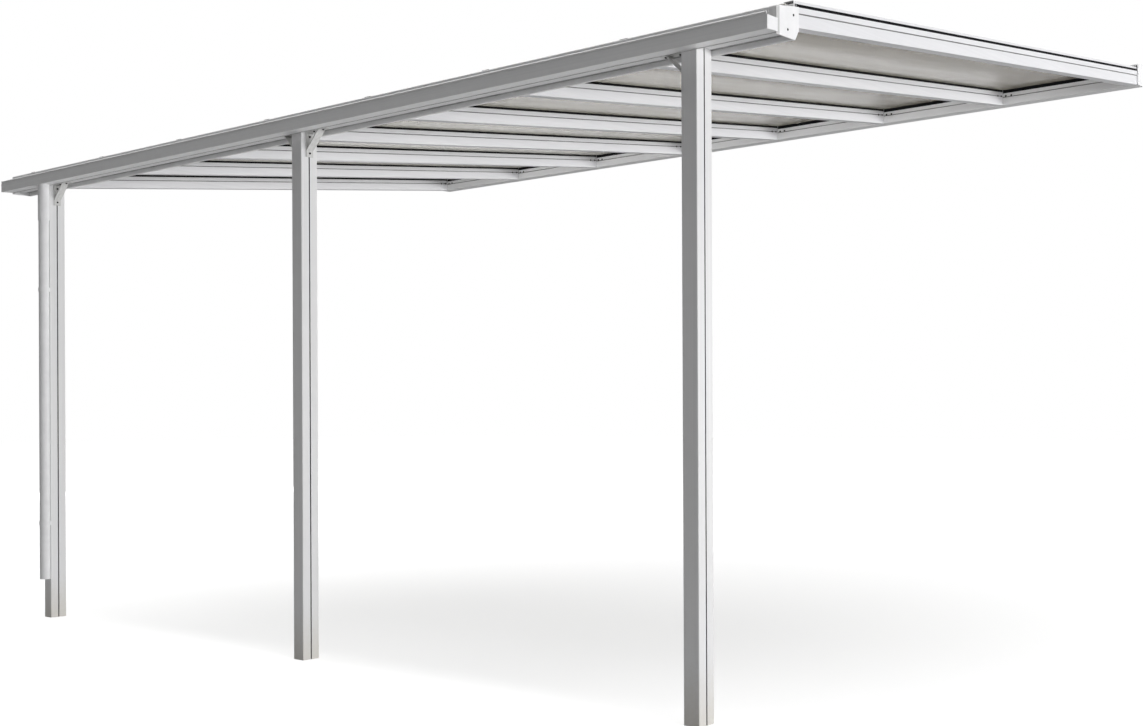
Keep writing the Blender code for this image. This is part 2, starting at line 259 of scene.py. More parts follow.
class SharedEffects:
    """Node groups that several finishes use, each built when it is first asked for."""

    def _group(self, name: str, outputs: Sequence[str],
               numbers: Sequence[str] = ()) -> tuple[NodeWriter, Node, NodeSocket, Node]:
        """Start a group that reads coordinates.

        Args:
            name: The group's name.
            outputs: Names of its outputs, all plain numbers.
            numbers: Names of the plain numbers that it reads beside the coordinates.

        Returns:
            The writer, the group's input node, the coordinates' socket and the output node.
        """
        tree = bpy.data.node_groups.new(name, "ShaderNodeTree")
        tree.interface.new_socket(name="Vector", in_out="INPUT", socket_type="NodeSocketVector")
        for way, keys in (("INPUT", numbers), ("OUTPUT", outputs)):
            for key in keys:
                tree.interface.new_socket(name=key, in_out=way, socket_type="NodeSocketFloat")
        write = NodeWriter(tree)
        into = write.add("NodeGroupInput")
        return write, into, into.outputs["Vector"], write.add("NodeGroupOutput")

    @cached_property
    def drawn_lines(self) -> ShaderNodeTree:
        """Make the fine lines that a die leaves along a profile, with soft bands in the anodising."""
        write, _, where, out = self._group("drawn_lines", ("Shade", "Height"))
        fine = write.noise(where, scale=1.0, detail=3.0)
        bands = write.noise(where, scale=0.12, detail=1.0)
        shade = write.maths("ADD", write.times(fine, 0.45), write.times(bands, 0.55))
        write.join(write.spread(shade, PATTERN), out.inputs["Shade"])
        write.join(fine, out.inputs["Height"])
        return write.tree

    @cached_property
    def settled_dust(self) -> ShaderNodeTree:
        """Make a mask of dust: patchy, on faces that look up."""
        write, _, where, out = self._group("settled_dust", ("Mask",))
        upward = write.part(write.add("ShaderNodeNewGeometry").outputs["Normal"], "Z")
        patches = write.spread(write.noise(where, scale=9.0, detail=5.0), (0.35, 0.75), (0.15, 1.0))
        write.join(write.times(write.spread(upward, (0.5, 0.95)), patches), out.inputs["Mask"])
        return write.tree

    @cached_property
    def ground_splash(self) -> ShaderNodeTree:
        """Make a mask of rain splash: ragged, on the lowest part of a piece that stands on the ground."""
        write, _, where, out = self._group("ground_splash", ("Mask",))
        ragged = write.times(write.noise(where, scale=60.0, detail=4.0), 0.16)
        height = write.maths("SUBTRACT", write.part(where, "Z"), ragged)
        write.join(write.spread(height, (-0.06, 0.16), (1.0, 0.0)), out.inputs["Mask"])
        return write.tree

    @cached_property
    def seam_band(self) -> ShaderNodeTree:
        """Make a patchy mask of a band of a level, for painted shade with dirt in a groove or seam, or a painted
        highlight on a rim.
        """
        write, into, where, out = self._group("seam_band", ("Mask",), ("Level", "Middle", "Half"))
        away = write.maths("SUBTRACT", into.outputs["Level"], into.outputs["Middle"])
        band = write.maths("LESS_THAN", write.maths("ABSOLUTE", away, 0.0), into.outputs["Half"])
        patches = write.spread(write.noise(where, scale=14.0, detail=4.0), (0.25, 0.7), (0.75, 1.0))
        write.join(write.times(band, patches), out.inputs["Mask"])
        return write.tree

    @cached_property
    def moulded_skin(self) -> ShaderNodeTree:
        """Make the fine pebbled skin of a moulded piece."""
        write, _, where, out = self._group("moulded_skin", ("Shade", "Height"))
        write.join(write.spread(write.noise(where, scale=22.0, detail=3.0), PATTERN), out.inputs["Shade"])
        write.join(write.noise(where, scale=1400.0, detail=1.0), out.inputs["Height"])
        return write.tree


EFFECTS = SharedEffects()


class MaterialMaker:
    """One material with its Principled shader, its output and the helpers that feed it."""

    def __init__(self, name: str) -> None:
        """Start the material from an empty tree.

        Args:
            name: The material's name.
        """
        self.material: Material = bpy.data.materials.new(name)
        self.write = NodeWriter.of(self.material)
        self.shader = self.write.add("ShaderNodeBsdfPrincipled")
        output = self.write.add("ShaderNodeOutputMaterial")
        self.write.join(self.shader.outputs["BSDF"], output.inputs["Surface"])
        self.place = self.write.add("ShaderNodeTexCoord").outputs["Object"]

    def set(self, **values: float | Sequence[float]) -> None:
        """Set constants on the shader's own sockets, with _ for each space in a socket's name."""
        for key, value in values.items():
            self.shader.inputs[key.replace("_", " ")].default_value = value

    def stretched(self, factors: Sequence[float]) -> NodeSocket:
        """Return the object coordinates, scaled.

        Args:
            factors: The scale along X, Y and Z.

        Returns:
            The scaled coordinates' socket.
        """
        mapping = self.write.add("ShaderNodeMapping", vector_type="POINT")
        mapping.inputs["Scale"].default_value = factors
        self.write.join(self.place, mapping.inputs["Vector"])
        return mapping.outputs["Vector"]

    def effect(self, group: ShaderNodeTree, where: NodeSocket | None = None) -> Node:
        """Place a shared effect.

        Args:
            group: The effect's node group.
            where: The coordinates it reads, or the object's own.

        Returns:
            The group node.
        """
        node = self.write.add("ShaderNodeGroup")
        node.node_tree = group
        self.write.join(self.place if where is None else where, node.inputs["Vector"])
        return node

    def dusted(self, colour: NodeSocket, dust: Colour, share: float, where: NodeSocket | None = None) -> NodeSocket:
        """Lay dust on the faces that look up.

        Args:
            colour: The clean colour.
            dust: The dust's colour.
            share: How much of the clean colour it hides at most.
            where: The coordinates that its patches follow, or the object's own.

        Returns:
            The dusted colour's socket.
        """
        mask = self.effect(EFFECTS.settled_dust, where).outputs["Mask"]
        return self.write.blend(self.write.times(mask, share), colour, dust)

    def surface(self, colour: NodeSocket, pattern: NodeSocket, roughness: Range, read: Range = FULL) -> None:
        """Feed the base colour, and the roughness by a pattern.

        Args:
            colour: The colour.
            pattern: The pattern that the roughness follows.
            roughness: The roughness at the start and the end of the pattern's range.
            read: The range that the pattern is read in.
        """
        self.write.join(colour, self.shader.inputs["Base Color"])
        self.write.join(self.write.spread(pattern, read, roughness), self.shader.inputs["Roughness"])

    def bump(self, height: NodeSocket, relief: Range) -> None:
        """Feed the normal with a bump.

        Args:
            height: The pattern's height, from 0 to 1.
            relief: What a height of 1 is in metres, and how much of the bump shows.
        """
        node = self.write.add("ShaderNodeBump")
        node.inputs["Distance"].default_value, node.inputs["Strength"].default_value = relief
        self.write.join(height, node.inputs["Height"])
        self.write.join(node.outputs["Normal"], self.shader.inputs["Normal"])

    def lean(self, mask: NodeSocket, direction: Sequence[float]) -> None:
        """Turn the normal towards a direction, as a rounding that is finer than the solid's facets.

        Args:
            mask: Where it turns, from 0 to 1.
            direction: The direction, of length 1.
        """
        normal = self.shader.inputs["Normal"].links[0].from_socket
        mix = self.write.add("ShaderNodeMix", data_type="VECTOR")
        self.write.join(mask, mix.inputs[0])
        self.write.join(normal, mix.inputs[4])
        mix.inputs[5].default_value = direction
        unit = self.write.add("ShaderNodeVectorMath", operation="NORMALIZE")
        self.write.join(mix.outputs[1], unit.inputs[0])
        self.write.join(unit.outputs["Vector"], self.shader.inputs["Normal"])


@dataclass(frozen=True)
class Seam:
    """A band across the sum of the weighted coordinates: painted shade with dirt in a groove or seam, painted shade
    on an edge, or a painted highlight on a rim.

    Attributes:
        weights: What X, Y and Z count for in the sum.
        middle: The sum at the band's middle line.
        half: Half the band's width.
    """

    weights: Triple
    middle: float
    half: float
    strength: float = 0.85
    # True for a painted highlight on a rim, which also turns the normal; false for painted shade with dirt.
    bright: bool = False

    def past(self, edge: float) -> "Seam":
        """Return the same band, with its middle counted from an edge."""
        return replace(self, middle=self.middle + edge)

    def mask(self, maker: MaterialMaker) -> NodeSocket:
        """Return the band's mask.

        Args:
            maker: The material under construction.

        Returns:
            The mask's socket.
        """
        level = maker.write.add("ShaderNodeVectorMath", operation="DOT_PRODUCT")
        maker.write.join(maker.place, level.inputs[0])
        level.inputs[1].default_value = self.weights
        grime_and_painted_light = maker.effect(EFFECTS.seam_band)
        maker.write.join(level.outputs["Value"], grime_and_painted_light.inputs["Level"])
        grime_and_painted_light.inputs["Middle"].default_value = self.middle
        grime_and_painted_light.inputs["Half"].default_value = self.half
        return maker.write.times(grime_and_painted_light.outputs["Mask"], self.strength)


@dataclass(frozen=True)
class Finish:
    """What every finish has.

    Attributes:
        light: Its colour where its pattern is light.
        dark: Its colour where its pattern is dark.
        roughness: The roughness at the pattern's dark and light end.
        relief: The depth of its fine bump, and how much of it shows.
    """

    light: Colour
    dark: Colour
    roughness: Range
    relief: Range


@dataclass(frozen=True)
class SatinAluminium(Finish):
    """Near-white satin aluminium, with the faint lines of a drawn profile.

    The dust lies on its upper faces, rain splash on the feet of what stands on the ground, and painted shade with
    dirt in the grooves, seams and corners. A rim gets a painted highlight and is shaded as if it faced another way.
    """

    light: Colour = (0.83, 0.83, 0.835)
    dark: Colour = (0.77, 0.77, 0.775)
    roughness: Range = (0.45, 0.35)
    relief: Range = (0.00006, 0.35)
    dust: Colour = (0.60, 0.58, 0.53)
    dust_share: float = 0.45
    splash: Colour = (0.66, 0.62, 0.54)
    splash_share: float = 0.5
    # Painted shade with dirt, for grooves, seams and corners.
    grime_and_painted_light: Colour = (0.060, 0.058, 0.052)
    # Painted highlight, for a rim.
    painted_highlight_colour: Colour = (0.97, 0.97, 0.975)
    rim_facing: Triple = (0.0, -0.454, 0.891)
    metallic: float = 0.06
    lines_per_metre: float = 700.0
    along_per_metre: float = 2.5

    def material(self, name: str, run: Run, seams: Sequence[Sequence[Seam]] = ()) -> Material:
        """Make the finish for profiles that run one way.

        Args:
            name: The material's name.
            run: The axis that the profile runs along.
            seams: Where painted shade with dirt, or a painted highlight, lies. Each entry is bands, and it lies
                where all of them are.

        Returns:
            The material.
        """
        maker = MaterialMaker(name)
        write = maker.write
        factors = [self.lines_per_metre] * 3
        factors[run.value] = self.along_per_metre
        lines = maker.effect(EFFECTS.drawn_lines, maker.stretched(factors))
        colour = write.blend(lines.outputs["Shade"], self.dark, self.light)
        colour = maker.dusted(colour, self.dust, self.dust_share)
        if run is Run.UPRIGHT:
            splash = maker.effect(EFFECTS.ground_splash)
            colour = write.blend(write.times(splash.outputs["Mask"], self.splash_share), colour, self.splash)
        rims = []
        # Each band lays painted shade with dirt, or a painted highlight on a rim.
        for bands in seams:
            mask = reduce(write.times, [band.mask(maker) for band in bands])
            colour = write.blend(mask, colour, self.painted_highlight_colour if bands[0].bright else self.grime_and_painted_light)
            if bands[0].bright:
                rims.append(mask)
        maker.surface(colour, lines.outputs["Shade"], self.roughness)
        maker.set(Metallic=self.metallic)
        maker.bump(lines.outputs["Height"], self.relief)
        for mask in rims:
            maker.lean(mask, self.rim_facing)
        return maker.material


@dataclass(frozen=True)
class MouldedPlastic(Finish):
    """Matt moulded plastic: the white of the end covers and the rain pipe, if nothing else is said."""

    light: Colour = (0.86, 0.86, 0.87)
    dark: Colour = (0.80, 0.80, 0.81)
    roughness: Range = (0.48, 0.38)
    relief: Range = (0.00005, 0.3)
    dust: Colour = (0.62, 0.60, 0.55)
    dust_share: float = 0.4
    # Painted shade, for an edge that faces away from the lamps.
    shade: Colour = (0.30, 0.295, 0.28)

    def material(self, name: str, edge: Seam | None = None) -> Material:
        """Make the finish.

        Args:
            name: The material's name.
            edge: A band of painted shade, if any.

        Returns:
            The material.
        """
        maker = MaterialMaker(name)
        write = maker.write
        skin = maker.effect(EFFECTS.moulded_skin)
        colour = write.blend(skin.outputs["Shade"], self.dark, self.light)
        colour = maker.dusted(colour, self.dust, self.dust_share)
        if edge is not None:
            colour = write.blend(edge.mask(maker), colour, self.shade)
        maker.surface(colour, skin.outputs["Shade"], self.roughness)
        maker.bump(skin.outputs["Height"], self.relief)
        return maker.material


@dataclass(frozen=True)
class MilkySheet(Finish):
    """Milky polycarbonate: milky on top, and painted darker underneath as shade, with dirt, where it mirrors
    faintly.

    The dark towards the right of each bay is a painted reflection of the rafters' shaded sides, with dirt.

    Attributes:
        pale: The paler colour towards the roof's left end.
        filled: The share of a bay's width after which the painted reflection is at its full.
        darkened: Where along X the painted reflection begins and is at its full.
        rising: Where along Y the painted reflection begins and is at its full.
        pale_span: Where along X the paler colour is at its full and ends.
    """

    # The underside's colours, painted darker than the upper face's as shade, with dirt.
    light: Colour = (0.31, 0.302, 0.268)
    dark: Colour = (0.215, 0.202, 0.170)
    roughness: Range = (0.10, 0.22)
    relief: Range = (0.00008, 0.25)
    # Paler colour towards the roof's left end.
    pale: Colour = (0.62, 0.61, 0.565)
    # Painted reflection of the rafters' shaded sides, with dirt.
    reflection_and_grime: Colour = (0.130, 0.104, 0.082)
    top_light: Colour = (0.80, 0.79, 0.755)
    top_dark: Colour = (0.72, 0.71, 0.67)
    dust: Colour = (0.58, 0.55, 0.48)
    dust_share: float = 0.30
    depth: float = 0.030
    filled: float = 0.8
    darkened: Range = (-1.2, 2.1)
    rising: Range = (0.2, 3.2)
    pale_span: Range = (-1.1, 0.6)

    def material(self, name: str, first: float, pitch: float) -> Material:
        """Make the finish, with a painted reflection of the rafters' shaded sides, with dirt, that darkens to the
        right in each bay and along the roof.

        Args:
            name: The material's name.
            first: The first rafter's place along X.
            pitch: How far apart the rafters stand.

        Returns:
            The material.
        """
        maker = MaterialMaker(name)
        write = maker.write
        x, y = (write.part(maker.place, letter) for letter in "XY")
        # The dark towards the right of each bay, the roof's right end and its back is a painted reflection of the
        # rafters' shaded sides, with dirt.
        across = write.maths("MODULO", write.maths("SUBTRACT", x, first), pitch)
        grime_and_painted_light = write.times(write.spread(across, (0.0, self.filled * pitch), (0.1, 1.0)),
                            write.spread(x, self.darkened, (0.1, 1.0)))
        grime_and_painted_light = write.times(grime_and_painted_light, write.spread(y, self.rising, (0.65, 1.0)))
        streaks = maker.stretched((5.0, 0.6, 1.0))
        clouds = write.spread(write.noise(streaks, scale=1.7, detail=3.0), PATTERN)
        # Paler towards the roof's left end.
        underside_base = write.blend(write.spread(x, self.pale_span, (0.85, 0.0)),
                           write.blend(clouds, self.dark, self.light), self.pale)
        below = write.blend(grime_and_painted_light, underside_base, self.reflection_and_grime)
        above = maker.dusted(write.blend(clouds, self.top_dark, self.top_light), self.dust, self.dust_share,
                             maker.stretched((1.6, 0.35, 1.0)))
        # The underside is painted darker than the upper face, as shade.
        facing = write.part(write.add("ShaderNodeNewGeometry").outputs["Normal"], "Z")
        frost = write.noise(maker.place, scale=380.0, detail=2.0)
        maker.surface(write.blend(write.spread(facing, (-0.6, 0.2)), below, above), frost,
                      self.roughness, (0.2, 0.8))
        maker.set(Subsurface_Weight=1.0, Subsurface_Radius=(1.0, 0.99, 0.95), Subsurface_Scale=self.depth,
                  IOR=1.58, Specular_IOR_Level=0.4)
        maker.bump(frost, self.relief)
        return maker.material


@dataclass(frozen=True)
class Mottled(Finish):
    """A dark finish in patches, with a grain that is finer.

    Attributes:
        patches: Scale and detail of the pattern that goes from dark to light.
        read: The range of that pattern that does so.
        grain: Scale and detail of the relief's pattern.
        mirror: How strongly it mirrors.
    """

    patches: Range
    read: Range
    grain: Range
    mirror: float

    def material(self, name: str) -> Material:
        """Make the finish.

        Args:
            name: The material's name.

        Returns:
            The material.
        """
        maker = MaterialMaker(name)
        write = maker.write
        patches = write.spread(write.noise(maker.place, *self.patches), self.read)
        maker.surface(write.blend(patches, self.dark, self.light), patches, self.roughness)
        maker.set(Specular_IOR_Level=self.mirror)
        maker.bump(write.noise(maker.place, *self.grain), self.relief)
        return maker.material


RUBBER = Mottled(light=(0.010, 0.010, 0.011), dark=(0.004, 0.004, 0.005), roughness=(0.54, 0.72),
                 relief=(0.00006, 0.4), patches=(45.0, 4.0), read=(0.3, 0.75), grain=(900.0, 2.0), mirror=0.08)
SCREW_STEEL = Mottled(light=(0.050, 0.049, 0.047), dark=(0.014, 0.014, 0.013), roughness=(0.65, 0.50),
                      relief=(0.00004, 0.3), patches=(420.0, 3.0), read=PATTERN, grain=(1600.0, 1.0), mirror=0.25)


class Body:
    """A closed shape under construction, which ends as one object at the origin."""

    def __init__(self) -> None:
        """Start with an empty mesh."""
        self.mesh = bmesh.new()

    def bar(self, section: Sequence[Vector], run: Vector) -> "Body":
        """Push a flat section along a run.

        Args:
            section: The section's corners, in order.
            run: How far and which way it is pushed.

        Returns:
            This body.
        """
        face = self.mesh.faces.new([self.mesh.verts.new(corner) for corner in section])
        pushed = bmesh.ops.extrude_face_region(self.mesh, geom=[face], use_keep_orig=True)["geom"]
        bmesh.ops.translate(self.mesh, vec=run, verts=[v for v in pushed if isinstance(v, bmesh.types.BMVert)])
        bmesh.ops.recalc_face_normals(self.mesh, faces=self.mesh.faces)
        return self

    def soften(self, width: float) -> "Body":
        """Round the sharp edges.

        Args:
            width: The bevel's width.

        Returns:
            This body.
        """
        sharp = [e for e in self.mesh.edges if e.is_manifold and e.calc_face_angle(0.0) > SHARP_EDGE]
        bmesh.ops.bevel(self.mesh, geom=sharp, offset=width, offset_type="OFFSET", affect="EDGES",
                        segments=2, profile=0.5, material=-1, clamp_overlap=True)
        return self

    def finish(self, name: str, material: Material, smooth: bool = False) -> None:
        """Turn the body into an object that rides on the part.

        Args:
            name: The piece's name.
            material: Its finish.
            smooth: Whether its faces are shaded smooth, apart from its sharp edges.
        """
        data = bpy.data.meshes.new(name)
        self.mesh.to_mesh(data)
        self.mesh.free()
        data.materials.append(material)
        if smooth:
            data.shade_smooth()
            data.set_sharp_from_angle(angle=SHARP_EDGE)
        obj = placed(name, data)
        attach(obj, "root")
        LOG.info("%s: %s", name, material.name)


@dataclass(frozen=True)
class Screw:
    """A pan-head screw with a cross recess.

    Its rings are pairs of a radius and a height, and they and the recess are shares of the head's size.
    """

    radius: float
    height: float = 0.0022
    sides: int = 24
    rings: tuple[Range, ...] = ((1.0, 0.0), (1.0, 0.35), (0.86, 0.74), (0.62, 0.95))
    recess: float = 0.35
    arm: float = 0.46
    arm_half: float = 0.12

    def on(self, name: str, seat: Vector, facing: Vector, material: Material) -> None:
        """Place a head on a face, sunk in a little.

        Args:
            name: The piece's name.
            seat: The point of the face under the head's middle.
            facing: The way the head looks.
            material: Its finish.
        """
        body = Body()
        mesh = body.mesh
        rings = []
        for share, rise in self.rings:
            made = bmesh.ops.create_circle(mesh, segments=self.sides, radius=self.radius * share)["verts"]
            bmesh.ops.translate(mesh, vec=(0.0, 0.0, self.height * rise), verts=made)
            rings.append(made)
        loops = [list(dict.fromkeys(e for v in ring for e in v.link_edges)) for ring in rings]
        loops += [self._cross_loop(mesh, self.height * share) for share in (1.0, self.recess)]
        for low, high in zip(loops, loops[1:]):
            bmesh.ops.bridge_loops(mesh, edges=low + high)
        mesh.faces.new(rings[0])
        bmesh.ops.edgeloop_fill(mesh, edges=loops[-1])
        bmesh.ops.recalc_face_normals(mesh, faces=mesh.faces)
        turn = facing.to_track_quat("Z", "Y").to_matrix().to_4x4()
        place = Matrix.Translation(seat - facing * SUNK) @ turn
        bmesh.ops.transform(mesh, matrix=place, verts=mesh.verts)
        body.finish(name, material, smooth=True)

    def _cross_loop(self, mesh: bmesh.types.BMesh, height: float) -> list[bmesh.types.BMEdge]:
        """Add the outline of the cross recess.

        Args:
            mesh: The mesh it goes into.
            height: How high it lies.

        Returns:
            Its edges.
        """
        arm, half = self.radius * self.arm, self.radius * self.arm_half
        quarter = [(arm, -half), (arm, half), (half, half)]
        corners = []
        for turn in range(4):
            around = Matrix.Rotation(turn * math.pi / 2, 2)
            corners += [around @ Vector(point) for point in quarter]
        verts = [mesh.verts.new((p.x, p.y, height)) for p in corners]
        return [mesh.edges.new((verts[i - 1], verts[i])) for i in range(len(verts))]


@dataclass(frozen=True)
class RoofPlane:
    """The sloping underside of the roof panels."""

    front: float
    height: float
    slope: float

    def at(self, y: float) -> float:
        """Return the height of the plane above the ground at a distance from the front."""
        return self.height + self.slope * (y - self.front)

    def run(self, start: float, end: float) -> Vector:
        """Return the way up the roof from one distance to another."""
        return Vector((0.0, end - start, self.slope * (end - start)))


def dress(material: Material, *names: str) -> None:
    """Give solids of the part their finish.

    Args:
        material: The finish.
        names: The solids' names.
    """
    for name in names:
        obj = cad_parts[name]
        if not obj.material_slots:
            obj.data.materials.append(material)
        for slot in obj.material_slots:
            slot.material = material
        LOG.info("%s: %s", name, material.name)


@dataclass(frozen=True)
class Posts:
    """The three posts, with painted shade and dirt in the groove down each side."""

    names: tuple[str, ...] = ("post_left", "post_middle", "post_right")
    # Painted shade with dirt in the groove.
    groove: Seam = Seam(REARWARD, 0.0, 0.00355)
    finish: SatinAluminium = SatinAluminium()

    def build(self) -> None:
        """Dress the posts."""
        dress(self.finish.material("satin_aluminium_posts", Run.UPRIGHT, [[self.groove]]), *self.names)


@dataclass(frozen=True)
class FrontBeam:
    """The front beam with its gutter and the covers on their ends.

    Its bands are painted shade with dirt in the joint of the two seen from below and in the corner behind the beam,
    the gutter's lip with a painted highlight on its rim, painted shade over that rim, and painted shade on the
    covers' front. Build counts each from an edge.

    Attributes:
        screw_places: Where a cover's screws are, as Y and the height over its foot.
    """

    # Painted shade with dirt in the joint of beam and gutter, and in the corner behind the beam.
    joint: Seam = Seam(REARWARD, 0.0015, 0.0022, 1.0)
    joint_level: Seam = Seam(UPWARD, 0.0010, 0.0004)
    corner: Seam = Seam(REARWARD, 0.0245, 0.0085)
    corner_level: Seam = Seam(UPWARD, 0.0150, 0.0004, 0.95)
    lip: Seam = Seam(REARWARD, 0.0060, 0.0065, 1.0)
    # Painted highlight on the gutter's rim.
    rim: Seam = Seam(UPWARD, -0.0105, 0.0045, 1.0, True)
    # Painted shade over the rim.
    shade_over_rim: Seam = Seam(UPWARD, -0.0015, 0.0045, 0.9)
    # Painted shade on the covers' front edge.
    cover_edge_shade: Seam = Seam(REARWARD, 0.0072, 0.0072, 0.45)
    finish: SatinAluminium = SatinAluminium()
    trim: MouldedPlastic = MouldedPlastic()
    screw: Screw = Screw(radius=0.0047)
    screw_places: tuple[Range, ...] = ((0.0557, 0.0875), (0.0174, 0.0285))

    def build(self, steel: Material) -> None:
        """Dress the beam, the gutter and the covers, and add the covers' screws.

        Args:
            steel: The screws' finish.
        """
        gutter_low, gutter_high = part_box("gutter")
        lip = self.lip.past(gutter_low.y)
        # Painted shade with dirt in the joint and the corner, a painted highlight on the rim and painted shade over
        # it.
        seams = [
            [self.joint.past(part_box("front_beam")[0].y), self.joint_level.past(gutter_low.z)],
            [self.corner.past(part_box("knee_bracket_right_post")[1].y), self.corner_level.past(gutter_low.z)],
            [self.rim.past(gutter_high.z), lip],
            [self.shade_over_rim.past(gutter_high.z), lip],
        ]
        dress(self.finish.material("satin_aluminium_beam", Run.ACROSS, seams), "front_beam", "gutter")
        # Painted shade on the covers' front edge, which faces away from the lamps.
        edge = self.cover_edge_shade.past(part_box("beam_end_plate_left")[0].y)
        white = self.trim.material("white_trim_covers", edge)
        for side, sign in SIDES:
            plate = "beam_end_plate_" + side
            dress(white, plate, "gutter_end_cap_" + side)
            low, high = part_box(plate)
            outer = high.x if sign > 0 else low.x
            for count, (y, rise) in enumerate(self.screw_places, 1):
                self.screw.on(f"{plate}_screw_{count}", Vector((outer, y, low.z + rise)),
                              sign * Vector(RIGHTWARD), steel)


@dataclass(frozen=True)
class Roof:
    """Rafters, caps and panels, with the sealing strips, cap ends and joint screws.

    Attributes:
        strip_inner: From a rafter's middle to a strip's near side.
        strip_outer: From a rafter's middle to its far side.
        screw_places: How far a joint's screws lie before the rail and beside the rafter.
        groove_level: How far the line along a rafter lies under the panels.
    """

    rafters: int = 8
    finish: SatinAluminium = SatinAluminium(light=(0.79, 0.79, 0.81), dark=(0.735, 0.735, 0.755))
    sheet: MilkySheet = MilkySheet()
    grey: MouldedPlastic = MouldedPlastic(
        light=(0.27, 0.27, 0.27), dark=(0.21, 0.21, 0.215), roughness=(0.5, 0.6), dust_share=0.0)
    strip_height: float = 0.0124
    strip_inner: float = 0.0192
    strip_outer: float = 0.0222
    strip_gap: float = 0.0005
    strip_edge: float = 0.0007
    cap_end: float = 0.0015
    cap_end_gap: float = 0.0001
    cap_end_drop: float = 0.0012
    cap_end_edge: float = 0.0004
    screw: Screw = Screw(radius=0.0058, height=0.0026)
    screw_places: tuple[Range, ...] = ((0.022, 0.018), (0.066, 0.051))
    groove_level: float = 0.0360
    groove_half: float = 0.00256

    def build(self, rubber: Material, steel: Material) -> None:
        """Dress the roof and add its small pieces.

        Args:
            rubber: The strips' finish.
            steel: The screws' finish.
        """
        ends = [sum(corner.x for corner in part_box(f"rafter_{number}")) / 2 for number in (1, self.rafters)]
        sheet = self.sheet.material("milky_sheet_panels", ends[0], (ends[1] - ends[0]) / (self.rafters - 1))
        grey = self.grey.material("grey_moulding_cap_ends")
        # Painted shade with dirt along each rafter's groove.
        groove = Seam((0.0, -self.plane.slope, 1.0), self.plane.at(0.0) - self.groove_level, self.groove_half)
        profile = self.finish.material("satin_aluminium_rafters", Run.UP_ROOF, [[groove]])
        dress(sheet, *(f"roof_panel_{number}" for number in range(1, self.rafters)))
        for number in range(1, self.rafters + 1):
            dress(profile, f"rafter_{number}", f"rafter_cap_{number}")
            self._cap_end(number, grey)
            for side, sign in SIDES:
                self._strip(number, side, sign, rubber)
                if self._inward(number, sign):
                    self._joint_screws(number, side, sign, steel)

    @cached_property
    def plane(self) -> RoofPlane:
        """Read the panels' underside off the first panel's box."""
        low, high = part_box("roof_panel_1")
        return RoofPlane(low.y, low.z, (high.z - low.z - PANEL_THICKNESS) / (high.y - low.y))

    def _inward(self, number: int, sign: float) -> bool:
        """Return whether a side of a rafter looks into a bay."""
        return not (number == 1 and sign < 0) and not (number == self.rafters and sign > 0)

    def _strip(self, number: int, side: str, sign: float, rubber: Material) -> None:
        """Add the strip between a rafter's edge and the panel, or the cap's leg on an outer side.

        Args:
            number: The rafter's number.
            side: The side's name.
            sign: -1 for the left side and 1 for the right.
            rubber: The strip's finish.
        """
        low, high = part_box(f"rafter_{number}")
        middle = (low.x + high.x) / 2
        start, end = low.y + self.strip_gap, high.y - self.strip_gap
        foot, top = -SEAT - self.strip_height, -SEAT
        inner, outer = middle + sign * self.strip_inner, middle + sign * self.strip_outer
        base = self.plane.at(start)
        section = [Vector((x, start, base + rise)) for x, rise in
                   ((inner, foot), (outer, foot), (outer, top), (inner, top))]
        Body().bar(section, self.plane.run(start, end)).soften(self.strip_edge).finish(
            f"sealing_strip_{number}_{side}", rubber)

    def _cap_end(self, number: int, grey: Material) -> None:
        """Close the front end of a rafter cap.

        Args:
            number: The rafter's number.
            grey: The end piece's finish.
        """
        cap_low, cap_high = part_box(f"rafter_cap_{number}")
        back = cap_low.y - self.cap_end_gap
        front = back - self.cap_end
        foot = self.plane.at(front) + PANEL_THICKNESS + SEAT
        top = cap_high.z - self.plane.slope * (cap_high.y - front) - self.cap_end_drop
        section = [Vector((x, back, z)) for x, z in
                   ((cap_low.x, foot), (cap_high.x, foot), (cap_high.x, top), (cap_low.x, top))]
        Body().bar(section, Vector((0.0, front - back, 0.0))).soften(self.cap_end_edge).finish(
            f"rafter_cap_end_{number}", grey)

    def _joint_screws(self, number: int, side: str, sign: float, steel: Material) -> None:
        """Add the four heads at a rafter's joint with the wall rail, two on each profile.

        Args:
            number: The rafter's number.
            side: The side's name.
            sign: -1 for the left side and 1 for the right.
            steel: Their finish.
        """
        low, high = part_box(f"rafter_{number}")
        face = high.x if sign > 0 else low.x
        rail_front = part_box("wall_rail")[0].y
        for count, (before, beside) in enumerate(self.screw_places, 1):
            y = rail_front - before
            seat = Vector((face, y, self.plane.at(y) - self.groove_level))
            self.screw.on(f"rafter_{number}_{side}_screw_{count}", seat, sign * Vector(RIGHTWARD), steel)
            seat = Vector((face + sign * beside, rail_front, self.plane.at(rail_front) - self.groove_level))
            self.screw.on(f"wall_rail_screw_{number}_{side}_{count}", seat, -Vector(REARWARD), steel)


